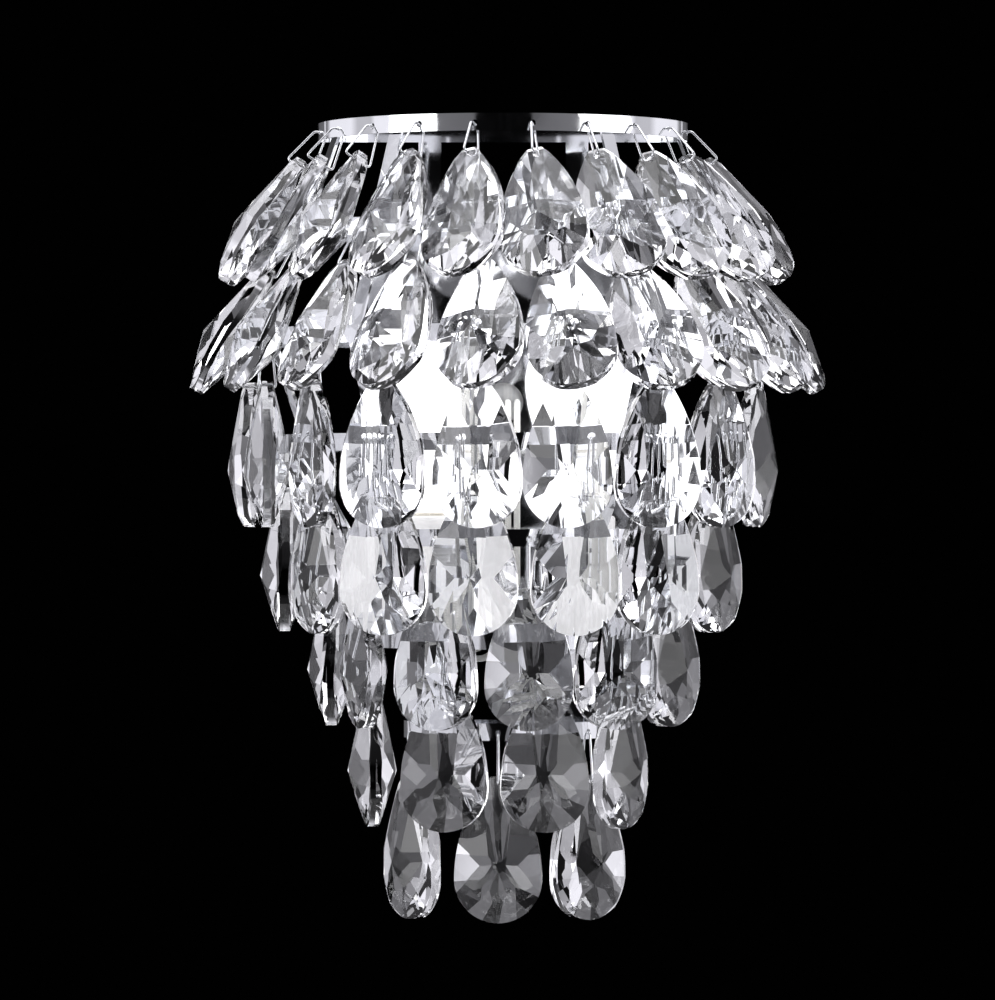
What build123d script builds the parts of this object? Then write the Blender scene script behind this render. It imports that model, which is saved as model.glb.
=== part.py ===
from build123d import *
from collections import namedtuple
from math import acos, asin, atan2, cos, degrees, hypot, pi, radians, sin
import os

# Crystal wall sconce: a half-round basket of chrome hoops, hung with seven rows of faceted glass drops.
# Millimetres. The wall is the plane Y = 0, the front looks towards -Y, and +Z is up.
# The origin is the centre of the mounting strap's back face, on the wall.

# ---- faceted glass drop ----
drop_length = 50.8
drop_width = 30.5
drop_thickness = 17.5
girdle_thickness = 4.4  # rim of the drop, between its front and back facets
girdle_edge = 3.6  # rim where a border facet cuts it
apex_depth = 31.0  # below the drop's top
drop_top_width = 5.2
drop_hole_depth = 2.2  # hole centre below the drop's top
drop_hole_radius = 0.75
facet_count = 8
border_start = 0.62  # where the border facets leave the main ones, as a share of the way to the rim

# ---- wire clips ----
clip_wire_radius = 0.4
clip_bend_radius = 1.0
clip_end_gap = 0.3  # between the two wire ends inside the drop's hole
Clip = namedtuple("Clip", "length top_half_width base_half_width top_bend_radius")
crown_clip = Clip(14.0, 2.2, 5.2, 1.9)
hoop_clip = Clip(17.0, 1.5, 3.1, 1.2)
lean_clip = Clip(17.0, 2.2, 3.3, 1.9)

# ---- hoops ----
hoop_height = 6.0
hoop_thickness = 0.8
hoop_corner_radius = 4.0
hook_hole_radius = 1.1
hook_hole_rise = 2.6  # hole centre above the hoop's lower edge
wire_sag = 0.3  # wire centre below the hole centre
crown_height = 98.0  # crown hoop's top edge above the origin
standoff = 10.0  # wall to the back run of every hoop

# One row of drops on each hoop: hoop radius, hook depth below the crown's top edge, the clip, the hook
# azimuths from the front, and how far each drop is turned about its own upright axis.
Row = namedtuple("Row", "radius hook_depth clip azimuths turns")
crown_hook_depth = hoop_height - hook_hole_rise + wire_sag
crown_azimuths = [-78.3 + 17.4 * k for k in range(10)]
second_azimuths = [-74.1 + 17.4 * k for k in range(10)]
third_azimuths = [-86.0, -67.5, -47.5, -27.5, -5.7, 14.0, 36.0, 56.5, 82.0]
fourth_azimuths = [-84.0, -55.3, -32.0, -7.7, 18.3, 42.8, 69.2]
fifth_azimuths = [-78.8, -52.1, -22.2, 8.2, 38.7, 69.3]
rows = [
    Row(65.5, crown_hook_depth, crown_clip, crown_azimuths, [-22.0] * 10),
    Row(76.5, 39.0, lean_clip, second_azimuths, [-18.0] * 9 + [-11.0]),
    Row(89.0, 76.4, hoop_clip, third_azimuths, [-16.0, -17.0, -17.0, 6.0, -8.0, -14.0, -16.0, -16.0, -12.0]),
    Row(77.5, 113.2, hoop_clip, fourth_azimuths, [-6.0, 0.0, 14.0, 0.0, -10.0, -18.0, -18.0]),
    Row(61.5, 146.2, hoop_clip, fifth_azimuths, [-14.0, -19.0, -4.0, -12.0, -20.0, -20.0]),
    Row(47.0, 181.9, hoop_clip, [-80.0, -25.8, 17.5, 60.3], [-3.0, 12.0, -10.0, -3.0]),
    Row(35.0, 213.9, hoop_clip, [-66.0, -3.0, 57.0], [10.0, 0.0, -20.0]),
]
leaning_rows = 2  # the upper rows rest against the wider hoop below them
lean_gap = 0.4  # between a leaning drop and the hoop or clips that it rests on
lean_reach = [7.4, 6.8]  # half thickness of a turned drop at the hoop that it rests on

# ---- uprights that join the hoops ----
upright_width = 5.0
upright_thickness = 1.2
weld_gap = 0.02
long_upright_azimuths = [-35.0, 33.5]
short_upright_azimuths = [-65.0, 74.0]  # these end at the sixth hoop
back_upright_x = 26.0
back_upright_width = 8.0

# ---- wall pan, mounting strap and their fasteners ----
pan_width = 96.0
pan_height = 150.0
pan_wall = 1.2
pan_corner_radius = 10.0
wire_hole_radius = 7.0
strap_end = 5.0  # beyond each slot
strap_width = 16.0
strap_thickness = 1.5
box_screw_spacing = 88.9
slot_radius = 2.4
slot_length = 11.0
stud_radius = 2.0
stud_clearance = 0.2
stud_length = 15.0
stud_head_radius = 3.6
stud_head_height = 2.0
nut_radius = 5.5
nut_height = 8.0
nut_clearance = 2.2  # between a nut and the back run of the hoop beside it
thread_gap = 0.05

# ---- lamps ----
lamp_x = 27.0
lamp_forward = 27.0  # lamp axes in front of the back runs
bracket_thickness = 1.5
bracket_width = 20.0
bracket_tab_height = 20.0
bracket_tab_width = 18.0
bracket_tab_gap = 1.0  # below the fifth hoop
rivet_head_radius = 3.5
rivet_head_height = 1.2
socket_radius = 12.0
socket_height = 30.0
socket_bore_radius = 7.4
socket_chamfer = 1.0
socket_floor = 6.0
socket_stem_radius = 4.8
socket_stem_length = 8.0
stem_nut_radius = 7.0
stem_nut_height = 3.0
bulb_cap_radius = 6.8
cap_rise = 1.0  # bulb cap above the socket's mouth
bulb_neck_radius = 9.0
bulb_radius = 19.0
bulb_length = 66.0  # glass envelope
lead_radius = 1.1
lead_spacing = 3.2
lead_drop = 9.0  # below the socket's stem
lead_back = 11.0  # leads' upright runs in front of the pan
lead_bend = 8.0
lead_clearance = 0.4

# ---- derived places ----
pan_depth = standoff
axis_point = Vector(0, -standoff, 0)
strip_half = hoop_thickness / 2
top_z = drop_hole_depth
apex_z = top_z - apex_depth
belly_z = top_z - drop_length + drop_width / 2


def hoop_bottom(row):
    """Height of the hoop's lower edge."""
    return crown_height - row.hook_depth + wire_sag - hook_hole_rise


def lean_angle(upper, lower, reach):
    """Lean that lays the upper row's drops on the lower hoop's outer top edge."""
    out = lower.radius + strip_half - upper.radius
    down = crown_height - upper.hook_depth - (hoop_bottom(lower) + hoop_height)
    return degrees(atan2(out, down) + asin((reach + lean_gap) / hypot(out, down)))


leans = [lean_angle(rows[i], rows[i + 1], lean_reach[i]) for i in range(leaning_rows)]
leans += [0.0] * (len(rows) - leaning_rows)


def radial(azimuth):
    """Unit vector out from the hoops' axis, at an azimuth from the front."""
    return Vector(sin(radians(azimuth)), -cos(radians(azimuth)), 0)


def hook_point(row, azimuth):
    """Centre of the wire inside the hoop's hook hole."""
    return axis_point + radial(azimuth) * row.radius + Vector(0, 0, crown_height - row.hook_depth)


def drop_plane(row, lean, azimuth, turn):
    """Plane at a drop's hole: x across the drop, y into its back and z up along it."""
    lean, turn = radians(lean), radians(turn)
    out, up = radial(azimuth), Vector(0, 0, 1)
    across = Vector(-out.Y, out.X, 0)
    down = out * sin(lean) - up * cos(lean)
    face = (out * cos(lean) + up * sin(lean)) * cos(turn) + across * sin(turn)
    origin = hook_point(row, azimuth) + down * row.clip.length
    return Plane(origin=origin, x_dir=face.cross(down), z_dir=-down)


def write(part, name):
    part.label = name
    export_step(part, f"parts/{name}.step")


os.makedirs("parts", exist_ok=True)


# ---- the drop, at its own hole, with the front towards -Y ----
def facet_planes(side, start_angle, outline):
    """Cutting planes of one face: a star of main facets round the apex, and steeper border facets."""
    apex = Vector(0, side * drop_thickness / 2, apex_z)
    pitch = 360 / facet_count
    planes = []
    for k in range(2 * facet_count):
        angle = radians(start_angle + k * pitch / 2)
        outward = Vector(cos(angle), 0, sin(angle))
        reach = max((point - Vector(0, 0, apex_z)).dot(outward) for point in outline)
        if k % 2 == 0:
            inner = apex
            rim = Vector(0, side * girdle_thickness / 2, apex_z) + outward * reach
        else:
            rise = (drop_thickness - girdle_thickness) / 2 * (1 - border_start)
            inner_y = side * (girdle_thickness / 2 + rise)
            inner = Vector(0, inner_y, apex_z) + outward * reach * border_start
            rim = Vector(0, side * girdle_edge / 2, apex_z) + outward * reach
        along = Vector(-sin(angle), 0, cos(angle))
        normal = along.cross(rim - inner).normalized()
        planes.append(Plane(origin=inner, z_dir=normal if normal.Y * side > 0 else -normal))
    return planes


with BuildPart() as crystal:
    with BuildSketch(Plane.XZ):
        with BuildLine() as drop_outline:
            bottom = CenterArc((0, belly_z), drop_width / 2, 180, 180)
            right = TangentArc(bottom @ 1, (drop_top_width / 2, top_z), tangent=(0, 1))
            left = TangentArc(bottom @ 0, (-drop_top_width / 2, top_z), tangent=(0, 1))
            Line(right @ 1, left @ 1)
        make_face()
        outline_points = [
            Vector(p.X, 0, p.Y)
            for edge in (bottom, right, left)
            for p in (edge @ (k / 40) for k in range(41))
        ]
    extrude(amount=drop_thickness / 2, both=True)
    for plane in facet_planes(-1, 0, outline_points):
        split(bisect_by=plane, keep=Keep.BOTTOM)
    for plane in facet_planes(1, 180 / facet_count, outline_points):
        split(bisect_by=plane, keep=Keep.BOTTOM)
    with BuildSketch(Plane.XZ):
        Circle(drop_hole_radius)
    extrude(amount=drop_thickness, both=True, mode=Mode.SUBTRACT)


for number, (row, lean) in enumerate(zip(rows, leans), 1):
    for index, (azimuth, turn) in enumerate(zip(row.azimuths, row.turns), 1):
        with BuildPart() as drop:
            with Locations(drop_plane(row, lean, azimuth, turn).location):
                add(crystal.part)
        write(drop.part, f"drop_{number}_{index:02d}")


# ---- wire clips: the top run lies in the hoop's hole, the ends meet in the drop's hole ----
def wire_clip(clip):
    base, top = clip.base_half_width, clip.top_half_width
    corners = [(clip_end_gap / 2, 0), (base, 0), (top, clip.length)]
    corners += [(-x, z) for x, z in reversed(corners)]
    bends = [clip_bend_radius, clip.top_bend_radius, clip.top_bend_radius, clip_bend_radius]
    with BuildPart() as wire:
        with BuildLine(Plane.YZ) as path:
            FilletPolyline(*corners, radius=bends)
        with BuildSketch(Plane(path.wire() ^ 0)):
            Circle(clip_wire_radius)
        sweep(path=path.wire())
    return wire.part


with BuildPart() as hook_clips:
    for row, lean in zip(rows, leans):
        hooks = zip(row.azimuths, row.turns)
        with Locations(*[drop_plane(row, lean, azimuth, turn).location for azimuth, turn in hooks]):
            add(wire_clip(row.clip))
write(hook_clips.part, "hook_clips")


# ---- hoops: a half-round strip on edge, closed by a straight back run ----
with BuildPart() as hoops:
    for row in rows:
        with BuildSketch(Plane.XY.offset(hoop_bottom(row))) as hoop_plan:
            with BuildLine():
                front = CenterArc((0, -standoff), row.radius + strip_half, 180, 180)
                Line(front @ 1, front @ 0)
            make_face()
            fillet(hoop_plan.vertices(), hoop_corner_radius)
            offset(amount=-hoop_thickness, mode=Mode.SUBTRACT)
        extrude(amount=hoop_height)
    for row in rows:
        for azimuth in row.azimuths:
            hole = hook_point(row, azimuth) + Vector(0, 0, wire_sag)
            with BuildSketch(Plane(origin=hole, z_dir=radial(azimuth))):
                Circle(hook_hole_radius)
            extrude(amount=3 * hoop_thickness, both=True, mode=Mode.SUBTRACT)
write(hoops.part, "hoops")


# ---- uprights: front straps inside the hoops and two straight back bars ----
def strap_profile(azimuth, count):
    """Corners of a front strap's side, as distance from the axis and height."""
    outer = []
    for row in rows[:count]:
        seat = row.radius - strip_half
        seat = seat * cos(asin(upright_width / 2 / seat)) - weld_gap
        outer += [(seat, hoop_bottom(row) + hoop_height), (seat, hoop_bottom(row))]
    return outer + [(x - upright_thickness, z) for x, z in reversed(outer)]


with BuildPart() as uprights:
    for azimuths, count in ((long_upright_azimuths, len(rows)), (short_upright_azimuths, len(rows) - 1)):
        for azimuth in azimuths:
            out = radial(azimuth)
            side_plane = Plane(origin=axis_point, x_dir=out, z_dir=out.cross(Vector(0, 0, 1)))
            with BuildSketch(side_plane):
                with BuildLine():
                    Polyline(*strap_profile(azimuth, count), close=True)
                make_face()
            extrude(amount=upright_width / 2, both=True)
    back_face = standoff + hoop_thickness
    with BuildSketch(Plane.XY.offset(hoop_bottom(rows[-1]))):
        with Locations(*[(x, -back_face - upright_thickness / 2) for x in (-back_upright_x, back_upright_x)]):
            Rectangle(back_upright_width, upright_thickness)
    extrude(amount=crown_height - hoop_bottom(rows[-1]))
write(uprights.part, "uprights")


# ---- wall pan ----
upper_stud = hoop_bottom(rows[2]) + hoop_height + nut_clearance + nut_radius
lower_stud = hoop_bottom(rows[3]) - nut_clearance - nut_radius
stud_points = [(0, lower_stud), (0, upper_stud)]
with BuildPart() as wall_pan:
    with BuildSketch(Plane.XZ):
        RectangleRounded(pan_width, pan_height, pan_corner_radius)
    extrude(amount=pan_depth)
    with BuildSketch(Plane.XZ):
        RectangleRounded(pan_width - 2 * pan_wall, pan_height - 2 * pan_wall, pan_corner_radius - pan_wall)
    extrude(amount=pan_depth - pan_wall, mode=Mode.SUBTRACT)
    with BuildSketch(Plane.XZ):
        with Locations(*stud_points):
            Circle(stud_radius + stud_clearance)
        Circle(wire_hole_radius)
    extrude(amount=pan_depth, mode=Mode.SUBTRACT)
write(wall_pan.part, "wall_pan")


# ---- mounting strap, with slots for the screws of a junction box ----
strap_length = box_screw_spacing + slot_length + 2 * strap_end
with BuildPart() as mounting_strap:
    with BuildSketch(Plane.XZ):
        RectangleRounded(strap_width, strap_length, strap_width / 4)
        with Locations((0, -box_screw_spacing / 2), (0, box_screw_spacing / 2)):
            SlotOverall(slot_length, 2 * slot_radius, rotation=90, mode=Mode.SUBTRACT)
        with Locations(*stud_points):
            Circle(stud_radius + thread_gap, mode=Mode.SUBTRACT)
    extrude(amount=strap_thickness)
write(mounting_strap.part, "mounting_strap")


# ---- studs through strap and pan, with cap nuts in front ----
with BuildPart() as strap_studs:
    for point in stud_points:
        with BuildSketch(Plane.XZ.offset(strap_thickness)):
            with Locations(point):
                RegularPolygon(stud_head_radius, 6)
        extrude(amount=stud_head_height)
        with BuildSketch(Plane.XZ):
            with Locations(point):
                Circle(stud_radius)
        extrude(amount=stud_length)
write(strap_studs.part, "strap_studs")

with BuildPart() as cap_nuts:
    for x, z in stud_points:
        with BuildSketch(Plane.YZ.offset(x)):
            with BuildLine():
                rim = Line((-pan_depth, z), (-pan_depth, z + nut_radius))
                flank = Line(rim @ 1, (-pan_depth - nut_height + nut_radius, z + nut_radius))
                dome = CenterArc((-pan_depth - nut_height + nut_radius, z), nut_radius, 90, 90)
                Line(dome @ 1, rim @ 0)
            make_face()
        revolve(axis=Axis((x, 0, z), (0, 1, 0)))
        with BuildSketch(Plane.XZ.offset(pan_depth)):
            with Locations((x, z)):
                Circle(stud_radius + thread_gap)
        extrude(amount=stud_length - pan_depth + thread_gap, mode=Mode.SUBTRACT)
write(cap_nuts.part, "cap_nuts")


# ---- lamp bracket: a tab on the pan, an arm forwards and a cross bar under the sockets ----
tab_bottom = hoop_bottom(rows[4]) - bracket_tab_gap - bracket_tab_height
bracket_height = tab_bottom + bracket_thickness  # top face of the arm
lamp_y = -standoff - lamp_forward
lamp_points = [(-lamp_x, lamp_y), (lamp_x, lamp_y)]
lead_y = -standoff - lead_back
rivet_z = tab_bottom + bracket_tab_height - 2 * rivet_head_radius
rivet_points = [(x, rivet_z) for x in (-bracket_tab_width / 4, bracket_tab_width / 4)]
with BuildPart() as lamp_bracket:
    with BuildSketch(Plane.XY.offset(tab_bottom)):
        with Locations((0, (lamp_y - standoff) / 2)):
            Rectangle(bracket_tab_width, lamp_forward)
        with Locations((0, lamp_y)):
            SlotCenterToCenter(2 * lamp_x, bracket_width)
        with Locations(*lamp_points):
            Circle(socket_stem_radius + thread_gap, mode=Mode.SUBTRACT)
        with Locations((0, lead_y)):
            slot_width = 2 * (lead_radius + lead_clearance)
            SlotCenterToCenter(3 * lead_spacing, slot_width, mode=Mode.SUBTRACT)
    extrude(amount=bracket_thickness)
    with BuildSketch(Plane.XZ.offset(standoff)):
        with Locations((0, tab_bottom + bracket_tab_height / 2)):
            Rectangle(bracket_tab_width, bracket_tab_height)
    extrude(amount=bracket_thickness)
    with BuildSketch(Plane.XZ.offset(standoff + bracket_thickness)):
        with Locations(*rivet_points):
            Circle(rivet_head_radius)
    extrude(amount=rivet_head_height)
write(lamp_bracket.part, "lamp_bracket")


# ---- lamp sockets, each on a threaded stem with a nut under the bracket ----
def turned(profile, point):
    """Solid of revolution from corners given as radius and height, standing at a plan point."""
    with BuildPart() as solid:
        with BuildSketch(Plane(origin=(*point, 0), x_dir=(1, 0, 0), z_dir=(0, -1, 0))):
            with BuildLine():
                Polyline(*profile, close=True)
            make_face()
        revolve(axis=Axis((*point, 0), (0, 0, 1)))
    return solid.part


socket_top = bracket_height + socket_height
socket_profile = [
    (0, bracket_height + socket_floor),
    (socket_bore_radius, bracket_height + socket_floor),
    (socket_bore_radius, socket_top),
    (socket_radius - socket_chamfer, socket_top),
    (socket_radius, socket_top - socket_chamfer),
    (socket_radius, bracket_height),
    (socket_stem_radius, bracket_height),
    (socket_stem_radius, tab_bottom),
    (stem_nut_radius, tab_bottom),
    (stem_nut_radius, tab_bottom - stem_nut_height),
    (socket_stem_radius, tab_bottom - stem_nut_height),
    (socket_stem_radius, bracket_height - socket_stem_length),
    (0, bracket_height - socket_stem_length),
]
with BuildPart() as sockets:
    for point in lamp_points:
        add(turned(socket_profile, point))
write(sockets.part, "sockets")


# ---- bulbs: a screw cap in the socket and a frosted glass envelope ----
cap_bottom = bracket_height + socket_floor + weld_gap
cap_top = socket_top + cap_rise
neck_top = cap_top + bulb_length - 2 * bulb_radius
bulb_middle = cap_top + bulb_length - bulb_radius
with BuildPart() as bulbs:
    for point in lamp_points:
        with BuildSketch(Plane.XY.offset(cap_bottom)):
            with Locations(point):
                Circle(bulb_cap_radius)
        extrude(amount=cap_top - cap_bottom)
        with BuildSketch(Plane(origin=(*point, 0), x_dir=(1, 0, 0), z_dir=(0, -1, 0))):
            with BuildLine():
                foot = Line((0, cap_top), (bulb_neck_radius, cap_top))
                crown = CenterArc((0, bulb_middle), bulb_radius, 0, 90)
                Spline(foot @ 1, crown @ 0, tangents=((0, 1), (0, 1)))
                Line(crown @ 1, foot @ 0)
            make_face()
        revolve(axis=Axis((*point, 0), (0, 0, 1)))
write(bulbs.part, "bulbs")


# ---- lamp leads: sleeved wires from each socket's stem back to the hole in the pan ----
stem_bottom = bracket_height - socket_stem_length
with BuildPart() as lamp_leads:
    for side in (-1, 1):
        for rank in (-1, 1):
            lead_x = side * (lamp_x + rank * lead_spacing / 2)
            inner_x = side * (lead_spacing - rank * lead_spacing / 2)
            low = stem_bottom - lead_drop - lead_spacing * (1 + rank) / 2
            corners = [
                (lead_x, lamp_y, stem_bottom),
                (lead_x, lamp_y, low),
                (inner_x, lead_y, low),
                (inner_x, lead_y, 0),
                (inner_x, -pan_depth + pan_wall, 0),
            ]
            with BuildPart(mode=Mode.PRIVATE) as lead:
                with BuildLine() as route:
                    FilletPolyline(*corners, radius=lead_bend)
                with BuildSketch(Plane(route.wire() ^ 0)):
                    Circle(lead_radius)
                sweep(path=route.wire())
            add(lead.part)
write(lamp_leads.part, "lamp_leads")
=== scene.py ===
import bmesh
import bpy
from math import cos, pi, radians, sin, tau
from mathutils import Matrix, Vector


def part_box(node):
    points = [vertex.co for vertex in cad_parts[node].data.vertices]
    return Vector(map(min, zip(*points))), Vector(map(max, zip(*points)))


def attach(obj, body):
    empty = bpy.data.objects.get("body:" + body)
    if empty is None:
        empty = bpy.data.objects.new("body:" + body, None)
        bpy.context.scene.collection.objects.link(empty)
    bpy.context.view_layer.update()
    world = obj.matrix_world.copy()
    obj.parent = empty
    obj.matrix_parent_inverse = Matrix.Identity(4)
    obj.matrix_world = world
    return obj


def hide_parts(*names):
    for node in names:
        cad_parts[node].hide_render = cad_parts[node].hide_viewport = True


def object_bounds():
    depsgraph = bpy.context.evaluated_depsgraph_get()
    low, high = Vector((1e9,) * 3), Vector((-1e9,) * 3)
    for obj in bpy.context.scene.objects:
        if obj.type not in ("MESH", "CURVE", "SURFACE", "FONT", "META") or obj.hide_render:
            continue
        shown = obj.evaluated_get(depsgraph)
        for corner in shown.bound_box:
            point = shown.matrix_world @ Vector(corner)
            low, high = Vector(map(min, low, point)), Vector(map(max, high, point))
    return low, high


# Looks of the crystal wall sconce. Metres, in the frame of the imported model: the wall is Y = 0,
# the front looks towards -Y and +Z is up.
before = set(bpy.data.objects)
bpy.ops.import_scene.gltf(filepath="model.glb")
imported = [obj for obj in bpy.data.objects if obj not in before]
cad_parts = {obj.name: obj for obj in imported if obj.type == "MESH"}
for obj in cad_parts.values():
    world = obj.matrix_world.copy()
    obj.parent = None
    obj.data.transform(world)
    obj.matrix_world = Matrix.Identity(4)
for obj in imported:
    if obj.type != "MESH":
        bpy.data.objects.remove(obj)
cad_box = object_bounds()
MM = 0.001

# ---- camera, from the photograph ----
CAMERA_DISTANCE = 2.0  # from the wall
CAMERA_X = -0.0021
CAMERA_BELOW_CROWN = 0.1325
SENSOR = 36.0
LENS = 202.5
CLIP_END = 50
CROWN_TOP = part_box("hoops")[1].z

# ---- studio ----
BACKDROP_TONE = 0.0003
# Room tones, from the wall's side (0) round to the photographer's (1)
ROOM_TONES = [(0, BACKDROP_TONE), (0.015, BACKDROP_TONE), (0.03, 0.12), (0.084, 0.15), (0.088, 0.9)]
ROOM_TONES += [(0.096, 0.9), (0.1, 0.2), (0.12, 0.25), (0.15, 0.95), (0.34, 1.0), (0.4, 0.6), (0.5, 0.6)]
ROOM_TONES += [(0.54, 1.0), (0.82, 1.0), (0.835, 0.2), (0.972, 0.15), (0.98, 0.003)]
ROOM_TINT = (0.985, 0.97, 1.04)
PANELS = 6.0  # bright panels round the line of sight, behind the sconce
PANEL_SHIFT = 0.5  # radians of one panel's period
PANEL_EDGE = 0.25  # softness of the panels' edges, as a share of the wave's height
PANEL_GAP_TONE = 0.03
PANEL_SHARE = 0.3  # how much the panels show beside and before the sconce
PANEL_FADE = (0.45, 0.75)  # the backward part of a direction over which they come to full strength
FLOOR_TONE = 0.8
FLOOR_MOTTLE = 0.98
FLOOR_DROP = 0.75  # below the sconce
FLOOR_SIZE = 2.0
LIGHT_AIM = Vector((0, -0.05, 0))
SOFT_BOXES = [
    ("key", (-1.5, -1.0, 0.8), (1.2, 1.6), 14),
    ("fill", (1.6, -0.8, 0.3), (1.2, 1.6), 8),
    ("top", (0, -0.2, 1.6), (1.4, 1.4), 10),
]

# ---- lamps ----
BULB_LOW, BULB_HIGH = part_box("bulbs")
SOCKET_LOW, SOCKET_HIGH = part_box("sockets")
BRACKET_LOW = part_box("lamp_bracket")[0].z
BRACKET_THICKNESS = 1.5 * MM
LAMP_Y = (BULB_LOW.y + BULB_HIGH.y) / 2
BULB_RADIUS = (BULB_HIGH.y - BULB_LOW.y) / 2
BULB_LENGTH = 66 * MM  # glass envelope
BULB_HEAD = BULB_HIGH.z - BULB_RADIUS  # height of the head's middle
LAMP_X = BULB_HIGH.x - BULB_RADIUS
LAMP_POINTS = [Vector((-LAMP_X, LAMP_Y, 0)), Vector((LAMP_X, LAMP_Y, 0))]
NECK_RADIUS = 8.9 * MM
CAP_RADIUS = 6.7 * MM
CAP_TOP = SOCKET_HIGH.z + 1.0 * MM  # the cap stands a little above the socket's mouth
SHELL_LOW = BULB_LOW.z + 3.2 * MM  # lower edge of the cap's screw shell
THREAD_PITCH = 2.8 * MM
THREAD_DEPTH = 0.5 * MM
SOCKET_RADIUS = (SOCKET_HIGH.y - SOCKET_LOW.y) / 2
SOCKET_BORE = 7.4 * MM
FLUTES = 24
FLUTE_DEPTH = 0.035  # as a share of the socket's radius
STEM_RADIUS = 4.75 * MM
STEM_PITCH = 1.0 * MM
STEM_THREAD = 0.03  # depth, as a share of the stem's radius
NUT_FLAT = 6.6 * MM  # from the middle to a flat
NUT_CORNER = 7.0 * MM
NUT_HEIGHT = 3.0 * MM
BULB_GLOW = 2.6
NECK_GLOW = 0.25  # as a share of the head's
TOP_GLOW = 0.32
# painted glow of the sockets, which are no lamps: emission that stands in for the bulbs' light on the
# porcelain
SOCKET_PAINTED_GLOW = 0.4
LAMP_WHITE = (0.98, 0.97, 1.0, 1)


# ---- node helpers ----
def new_material(name):
    material = bpy.data.materials.new(name)
    material.use_nodes = True
    tree = material.node_tree
    return material, tree, tree.nodes["Principled BSDF"]


def node(tree, kind, **settings):
    made = tree.nodes.new(kind)
    for key, value in settings.items():
        setattr(made, key, value)
    return made


def set_values(made, **values):
    """Sets input sockets whose names are given with underscores for spaces."""
    for key, value in values.items():
        made.inputs[key.replace("_", " ")].default_value = value


def object_noise(tree, scale, detail=3.0, stretch=(1, 1, 1)):
    """Noise in the object's own coordinates, in metres."""
    place = node(tree, "ShaderNodeTexCoord")
    mapping = node(tree, "ShaderNodeMapping")
    set_values(mapping, Scale=stretch)
    noise = node(tree, "ShaderNodeTexNoise")
    set_values(noise, Scale=scale, Detail=detail)
    tree.links.new(place.outputs["Object"], mapping.inputs["Vector"])
    tree.links.new(mapping.outputs["Vector"], noise.inputs["Vector"])
    return noise.outputs["Fac"]


def calculate(tree, operation, first, second):
    """A number from one output, and from another output or a constant."""
    made = node(tree, "ShaderNodeMath", operation=operation)
    tree.links.new(first, made.inputs[0])
    if isinstance(second, float):
        made.inputs[1].default_value = second
    else:
        tree.links.new(second, made.inputs[1])
    return made.outputs[0]


def fit(tree, value, source, target):
    """A value carried from one range to another, and held at its ends."""
    made = node(tree, "ShaderNodeMapRange")
    set_values(made, From_Min=source[0], From_Max=source[1], To_Min=target[0], To_Max=target[1])
    tree.links.new(value, made.inputs["Value"])
    return made.outputs["Result"]


NOISE_RANGE = (0.3, 0.7)  # where most of a noise's values lie


def spread(tree, noise, low, high):
    """A noise spread between low and high."""
    return fit(tree, noise, NOISE_RANGE, (low, high))


def colour_mix(tree, factor, dark, light):
    ramp = node(tree, "ShaderNodeValToRGB")
    for element, position, colour in zip(ramp.color_ramp.elements, NOISE_RANGE, (dark, light)):
        element.position = position
        element.color = (*colour, 1)
    tree.links.new(factor, ramp.inputs["Fac"])
    return ramp.outputs["Color"]


def blend(tree, factor, first, second):
    """A number between first and second, each an output or a constant."""
    made = node(tree, "ShaderNodeMix")
    tree.links.new(factor, made.inputs[0])
    for socket, value in ((2, first), (3, second)):
        if isinstance(value, int):
            made.inputs[socket].default_value = value
        else:
            tree.links.new(value, made.inputs[socket])
    return made.outputs[0]


def add_bump(tree, shader, height, distance):
    bump = node(tree, "ShaderNodeBump")
    set_values(bump, Distance=distance, Strength=1.0)
    tree.links.new(height, bump.inputs["Height"])
    tree.links.new(bump.outputs["Normal"], shader.inputs["Normal"])


# ---- materials ----
def crystal_glass():
    """Clear cut glass: polished facets with the faint haze of handled crystal."""
    material, tree, shader = new_material("crystal_glass")
    set_values(shader, Base_Color=(0.985, 0.99, 1.0, 1), Transmission_Weight=1.0, IOR=1.55)
    tree.links.new(spread(tree, object_noise(tree, 90, 4), 0.0, 0.008), shader.inputs["Roughness"])
    return material


def chrome(name, rough_low, rough_high, wave):
    material, tree, shader = new_material(name)
    set_values(shader, Metallic=1.0)
    cloud = object_noise(tree, 60, 4)
    dull = [part * 0.94 for part in CHROME_TINT]
    tree.links.new(colour_mix(tree, cloud, dull, CHROME_TINT), shader.inputs["Base Color"])
    tree.links.new(spread(tree, object_noise(tree, 220, 5), rough_low, rough_high), shader.inputs["Roughness"])
    add_bump(tree, shader, object_noise(tree, 35, 2), wave)
    return material


def brushed_steel():
    material, tree, shader = new_material("zinc_plated_steel")
    set_values(shader, Metallic=1.0)
    grain = object_noise(tree, 900, 4, (1, 1, 0.06))
    tree.links.new(colour_mix(tree, grain, (0.5, 0.51, 0.52), (0.66, 0.66, 0.65)), shader.inputs["Base Color"])
    tree.links.new(spread(tree, grain, 0.26, 0.42), shader.inputs["Roughness"])
    add_bump(tree, shader, grain, 0.04 * MM)
    return material


def socket_ceramic_painted_glow():
    """White porcelain, with a painted glow that stands in for the light of the lamp that it holds."""
    material, tree, shader = new_material("socket_ceramic_painted_glow")
    tone = object_noise(tree, 140, 3)
    tree.links.new(colour_mix(tree, tone, (0.86, 0.85, 0.82), (0.9, 0.89, 0.87)), shader.inputs["Base Color"])
    # painted glow: this emission stands in for the lamp's light falling on and through the porcelain
    set_values(shader, Emission_Color=LAMP_WHITE, Emission_Strength=SOCKET_PAINTED_GLOW, Coat_Weight=0.3)
    tree.links.new(spread(tree, tone, 0.34, 0.48), shader.inputs["Roughness"])
    add_bump(tree, shader, object_noise(tree, 700, 2), 0.03 * MM)
    return material


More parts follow.
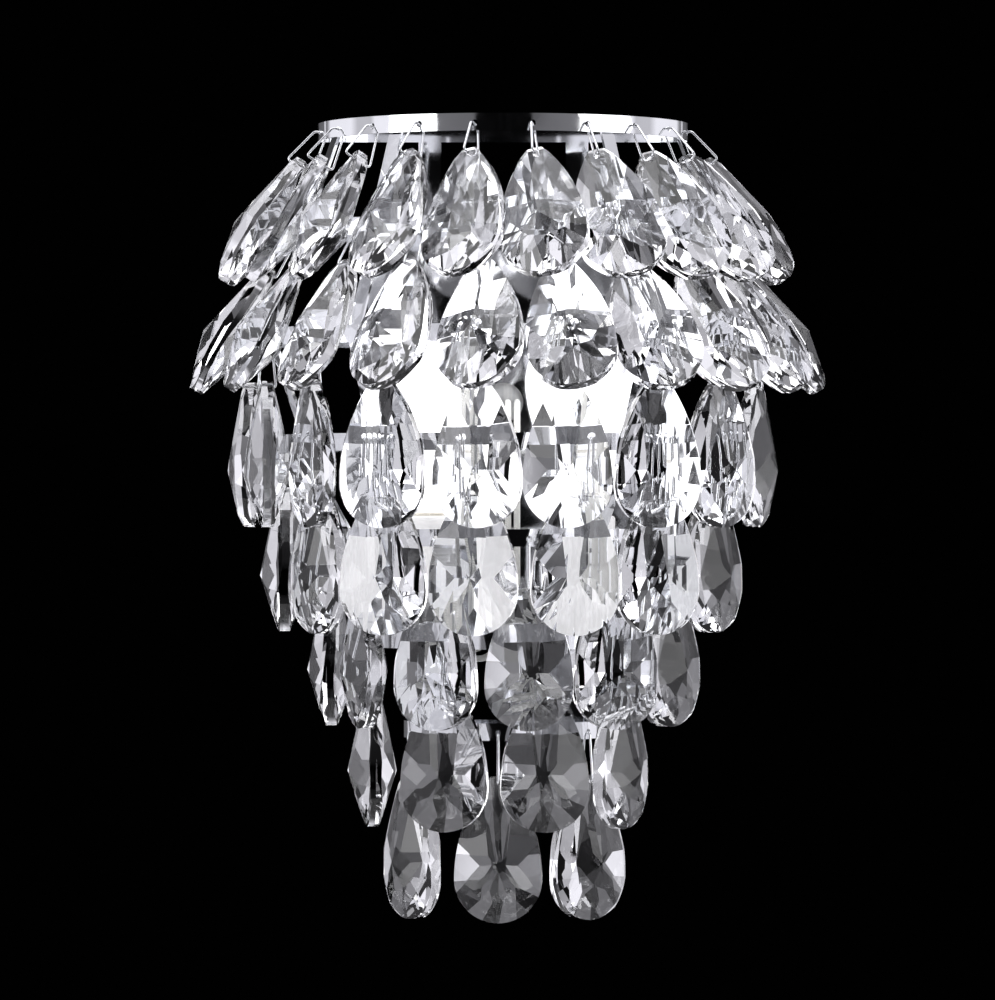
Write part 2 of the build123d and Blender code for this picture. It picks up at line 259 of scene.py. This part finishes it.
def bulb_glass():
    """Frosted envelope of a lit lamp, brightest round the middle of its head."""
    material, tree, shader = new_material("bulb_glass")
    set_values(shader, Base_Color=(0.93, 0.92, 0.9, 1), Roughness=0.45, Emission_Color=LAMP_WHITE)
    add_bump(tree, shader, object_noise(tree, 1500, 3), 0.02 * MM)
    place = node(tree, "ShaderNodeTexCoord")
    split = node(tree, "ShaderNodeSeparateXYZ")
    tree.links.new(place.outputs["Object"], split.inputs["Vector"])
    height = split.outputs["Z"]
    below = fit(tree, height, (BULB_HIGH.z - BULB_LENGTH, BULB_HEAD), (NECK_GLOW, 1))
    above = fit(tree, height, (BULB_HEAD, BULB_HIGH.z), (1, TOP_GLOW))
    glow = calculate(tree, "MULTIPLY", calculate(tree, "MULTIPLY", below, above), BULB_GLOW)
    tree.links.new(glow, shader.inputs["Emission Strength"])
    return material


def nickel_cap():
    material, tree, shader = new_material("bulb_cap_nickel")
    set_values(shader, Metallic=1.0)
    tone = object_noise(tree, 300, 4)
    tree.links.new(colour_mix(tree, tone, (0.6, 0.58, 0.52), (0.75, 0.73, 0.68)), shader.inputs["Base Color"])
    tree.links.new(spread(tree, tone, 0.2, 0.34), shader.inputs["Roughness"])
    return material


def braided_sleeve():
    material, tree, shader = new_material("lead_sleeve")
    place = node(tree, "ShaderNodeTexCoord")
    wave = node(tree, "ShaderNodeTexWave", wave_type="BANDS", bands_direction="DIAGONAL")
    set_values(wave, Scale=700, Distortion=1.5)
    tree.links.new(place.outputs["Object"], wave.inputs["Vector"])
    braid = wave.outputs["Fac"]
    tree.links.new(colour_mix(tree, braid, (0.6, 0.6, 0.57), (0.82, 0.82, 0.79)), shader.inputs["Base Color"])
    set_values(shader, Roughness=0.75, Sheen_Weight=0.3)
    add_bump(tree, shader, braid, 0.12 * MM)
    return material


CHROME_TINT = (0.87, 0.88, 0.9)
materials = {
    "crystal": crystal_glass(),
    "chrome": chrome("chrome", 0.03, 0.09, 0.12 * MM),
    "wire": chrome("chrome_wire", 0.08, 0.16, 0.01 * MM),
    "steel": brushed_steel(),
    "ceramic": socket_ceramic_painted_glow(),
    "bulb": bulb_glass(),
    "cap": nickel_cap(),
    "sleeve": braided_sleeve(),
}


# ---- carried-over CAD nodes ----
BEVEL_ANGLE = radians(30)


def dress(name, material, bevel=0.0):
    """Gives a CAD node its material, and worn edges where a bevel width is given."""
    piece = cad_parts[name]
    piece.data.materials.clear()
    piece.data.materials.append(materials[material])
    if bevel:
        edge = piece.modifiers.new("edges", "BEVEL")
        edge.width = bevel
        edge.segments = 2
        edge.limit_method = "ANGLE"
        edge.angle_limit = BEVEL_ANGLE


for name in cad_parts:
    if name.startswith("drop_"):
        dress(name, "crystal")
dress("hoops", "chrome", 0.12 * MM)
dress("uprights", "chrome", 0.15 * MM)
dress("wall_pan", "chrome", 0.3 * MM)
dress("cap_nuts", "chrome")
dress("lamp_bracket", "chrome", 0.15 * MM)
dress("hook_clips", "wire")
dress("mounting_strap", "steel", 0.15 * MM)
dress("strap_studs", "steel", 0.12 * MM)
dress("lamp_leads", "sleeve")


# ---- turned pieces of the lamps ----
def finish_piece(bm, name, material):
    mesh = bpy.data.meshes.new(name)
    bmesh.ops.recalc_face_normals(bm, faces=bm.faces)
    bm.to_mesh(mesh)
    bm.free()
    for face in mesh.polygons:
        face.use_smooth = True
    mesh.materials.append(materials[material])
    piece = bpy.data.objects.new(name, mesh)
    bpy.context.scene.collection.objects.link(piece)
    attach(piece, "frame")
    return piece


def lathe(centre, profile, sides, closed=False, shape=None):
    """Rings of vertices round an upright axis. profile lists radius and height, a radius of 0 closes an
    end, and shape(angle, index) scales a ring's radius."""
    bm = bmesh.new()
    rings = []
    for index, (radius, height) in enumerate(profile):
        if radius == 0:
            rings.append([bm.verts.new(centre + Vector((0, 0, height)))] * sides)
            continue
        ring = []
        for k in range(sides):
            angle = tau * k / sides
            r = radius * (shape(angle, index) if shape else 1)
            ring.append(bm.verts.new(centre + Vector((r * cos(angle), r * sin(angle), height))))
        rings.append(ring)
    pairs = list(zip(rings, rings[1:]))
    if closed:
        pairs.append((rings[-1], rings[0]))
    for low, high in pairs:
        for k in range(sides):
            n = (k + 1) % sides
            corners = [low[k], low[n], high[n], high[k]]
            unique = [v for i, v in enumerate(corners) if v not in corners[:i]]
            if len(unique) > 2:
                bm.faces.new(unique)
    return bm


def smooth_step(t):
    return t * t * (3 - 2 * t)


def even_heights(low, high, steps):
    return [low + (high - low) * k / steps for k in range(steps + 1)]


def thread(angle, height, pitch):
    return sin(tau * height / pitch - angle)


def bulb_envelope(centre, name):
    """Frosted glass: a neck that widens to a round head."""
    rise = 24
    profile = [(0, CAP_TOP), (NECK_RADIUS * 0.85, CAP_TOP), (NECK_RADIUS * 0.97, CAP_TOP + 0.3 * MM)]
    for k in range(1, rise + 1):
        t = k / rise
        radius = NECK_RADIUS + (BULB_RADIUS - NECK_RADIUS) * smooth_step(t)
        profile.append((radius, CAP_TOP + (BULB_HEAD - CAP_TOP) * t))
    for k in range(1, rise):
        angle = pi / 2 * k / rise
        profile.append((BULB_RADIUS * cos(angle), BULB_HEAD + BULB_RADIUS * sin(angle)))
    profile.append((0, BULB_HIGH.z))
    return finish_piece(lathe(centre, profile, 64), name, "bulb")


def bulb_cap(centre, name):
    """Screw shell with a rolled thread."""
    profile = [(0, SHELL_LOW - 0.2 * MM), (CAP_RADIUS * 0.9, SHELL_LOW - 0.2 * MM)]
    profile += [(CAP_RADIUS, height) for height in even_heights(SHELL_LOW, CAP_TOP, 90)]
    profile.append((0, CAP_TOP))

    def rolled(angle, index):
        if index < 2:
            return 1
        depth = THREAD_DEPTH / CAP_RADIUS / 2
        return 1 - depth + depth * thread(angle, profile[index][1], THREAD_PITCH)

    finish_piece(lathe(centre, profile, 48, shape=rolled), name, "cap")


def bulb_contact(centre, name):
    """Contact and insulator that close the cap's lower end."""
    low = BULB_LOW.z
    profile = [(0, low), (1.8 * MM, low), (2.4 * MM, low + 0.5 * MM), (2.5 * MM, low + 1.0 * MM)]
    profile += [(5.4 * MM, low + 2.9 * MM), (CAP_RADIUS * 0.88, low + 3.0 * MM), (0, low + 3.0 * MM)]
    finish_piece(lathe(centre, profile, 40), name, "cap")


def socket_body(centre, name):
    """Fluted shell with a rolled lip and a smooth bore, down to its seat on the bracket."""
    seat = BRACKET_LOW + BRACKET_THICKNESS
    top, r, waist = SOCKET_HIGH.z, SOCKET_RADIUS, SOCKET_RADIUS * 0.985
    floor = BULB_LOW.z - 0.02 * MM
    outline = [(0, seat), (r * 0.94, seat), (r, seat + 0.6 * MM), (r, seat + 4 * MM), (waist, seat + 4.6 * MM)]
    steps = 10
    fluted = range(len(outline), len(outline) + steps + 1)
    outline += [(waist, height) for height in even_heights(seat + 5.2 * MM, top - 4.4 * MM, steps)]
    outline += [(waist, top - 3.8 * MM), (r, top - 3.2 * MM), (r, top - 1.0 * MM), (r * 0.97, top - 0.3 * MM)]
    outline += [(r * 0.92, top), (SOCKET_BORE + 0.5 * MM, top), (SOCKET_BORE, top - 0.5 * MM)]
    outline += [(SOCKET_BORE, floor), (0, floor)]

    def fluting(angle, index):
        return 1 - FLUTE_DEPTH * (0.5 - 0.5 * cos(FLUTES * angle)) ** 2 if index in fluted else 1

    return finish_piece(lathe(centre, outline, 192, shape=fluting), name, "ceramic")


def socket_stem(centre, name):
    """Threaded stem down through the bracket."""
    steps = 60
    heights = even_heights(SOCKET_LOW.z, BRACKET_LOW + BRACKET_THICKNESS, steps)
    profile = [(0, heights[0])] + [(STEM_RADIUS, height) for height in heights] + [(0, heights[-1])]

    def cut(angle, index):
        return 1 - STEM_THREAD + STEM_THREAD * thread(angle, profile[index][1], STEM_PITCH)

    finish_piece(lathe(centre, profile, 48, shape=cut), name, "steel")


def stem_nut(centre, name):
    """Hexagon nut under the bracket, with its corners turned back."""
    low, high = BRACKET_LOW - NUT_HEIGHT, BRACKET_LOW
    outer = NUT_FLAT / cos(pi / 6)
    profile = [(STEM_RADIUS, low), (NUT_FLAT, low), (outer, low + 0.4 * MM)]
    profile += [(outer, high - 0.4 * MM), (NUT_FLAT, high), (STEM_RADIUS, high)]

    def hexagon(angle, index):
        if index in (2, 3):
            across = (angle % (pi / 3)) - pi / 6
            return min(1, cos(pi / 6) / cos(across)) * min(1, NUT_CORNER / outer)
        return 1

    nut = lathe(centre, profile, 96, closed=True, shape=hexagon)
    finish_piece(nut, name, "steel")


for side, centre in zip(("left", "right"), LAMP_POINTS):
    envelope = bulb_envelope(centre, f"bulb_envelope_{side}")
    bulb_cap(centre, f"bulb_cap_{side}")
    bulb_contact(centre, f"bulb_contact_{side}")
    body = socket_body(centre, f"socket_body_{side}")
    socket_stem(centre, f"socket_stem_{side}")
    stem_nut(centre, f"socket_stem_{side}_nut")
    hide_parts("bulbs")
    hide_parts("sockets")


# ---- studio ----
def studio_world():
    """Dark studio with soft white panels round the sconce, and a dark place for the photographer."""
    world = bpy.data.worlds.new("studio")
    bpy.context.scene.world = world
    world.use_nodes = True
    tree = world.node_tree
    background = tree.nodes["Background"]
    place = node(tree, "ShaderNodeTexCoord")
    way = node(tree, "ShaderNodeSeparateXYZ")
    tree.links.new(place.outputs["Generated"], way.inputs["Vector"])
    room = node(tree, "ShaderNodeValToRGB")
    ramp = room.color_ramp
    while len(ramp.elements) < len(ROOM_TONES):
        ramp.elements.new(0.5)
    for element, (position, tone) in zip(ramp.elements, ROOM_TONES):
        element.position = position
        element.color = (*(tone * part for part in ROOM_TINT), 1)
    tree.links.new(fit(tree, way.outputs["Y"], (1, -1), (0, 1)), room.inputs["Fac"])
    turn = calculate(tree, "ARCTAN2", way.outputs["Z"], way.outputs["X"])
    phase = calculate(tree, "ADD", calculate(tree, "MULTIPLY", turn, PANELS), PANEL_SHIFT)
    wave = calculate(tree, "COSINE", phase, 0.0)
    panel = fit(tree, wave, (-PANEL_EDGE, PANEL_EDGE), (PANEL_GAP_TONE, 1))
    behind = fit(tree, way.outputs["Y"], PANEL_FADE, (PANEL_SHARE, 1))
    camera_ray = node(tree, "ShaderNodeLightPath").outputs["Is Camera Ray"]
    seen = node(tree, "ShaderNodeMix", data_type="RGBA")
    tree.links.new(camera_ray, seen.inputs["Factor"])
    tree.links.new(room.outputs["Color"], seen.inputs[6])
    seen.inputs[7].default_value = (BACKDROP_TONE, BACKDROP_TONE, BACKDROP_TONE, 1)
    tree.links.new(seen.outputs[2], background.inputs["Color"])
    strength = blend(tree, camera_ray, blend(tree, behind, 1, panel), 1)
    tree.links.new(strength, background.inputs["Strength"])


def studio_floor():
    bm = bmesh.new()
    bmesh.ops.create_grid(bm, x_segments=1, y_segments=1, size=FLOOR_SIZE / 2)
    mesh = bpy.data.meshes.new("floor")
    bm.to_mesh(mesh)
    bm.free()
    floor = bpy.data.objects.new("floor", mesh)
    floor.location.z = cad_box[0].z - FLOOR_DROP
    bpy.context.scene.collection.objects.link(floor)
    material, tree, shader = new_material("floor")
    tones = colour_mix(tree, object_noise(tree, 3, 2), [FLOOR_TONE * FLOOR_MOTTLE] * 3, [FLOOR_TONE] * 3)
    tree.links.new(tones, shader.inputs["Base Color"])
    set_values(shader, Roughness=0.8)
    mesh.materials.append(material)


def soft_box(name, place, size, power):
    light = bpy.data.lights.new(name, "AREA")
    light.shape = "RECTANGLE"
    light.size, light.size_y = size
    light.energy = power
    lamp = bpy.data.objects.new(name, light)
    lamp.location = place
    lamp.rotation_euler = (LIGHT_AIM - Vector(place)).to_track_quat("-Z", "Y").to_euler()
    bpy.context.scene.collection.objects.link(lamp)


def studio_camera():
    data = bpy.data.cameras.new("camera")
    data.lens = LENS
    data.sensor_width = SENSOR
    data.sensor_fit = "AUTO"
    data.clip_end = CLIP_END
    camera = bpy.data.objects.new("camera", data)
    camera.location = (CAMERA_X, -CAMERA_DISTANCE, CROWN_TOP - CAMERA_BELOW_CROWN)
    camera.rotation_euler = (radians(90), 0, 0)
    bpy.context.scene.collection.objects.link(camera)
    bpy.context.scene.camera = camera


studio_world()
studio_floor()
for box in SOFT_BOXES:
    soft_box(*box)
studio_camera()
bpy.context.scene.view_settings.view_transform = "Standard"
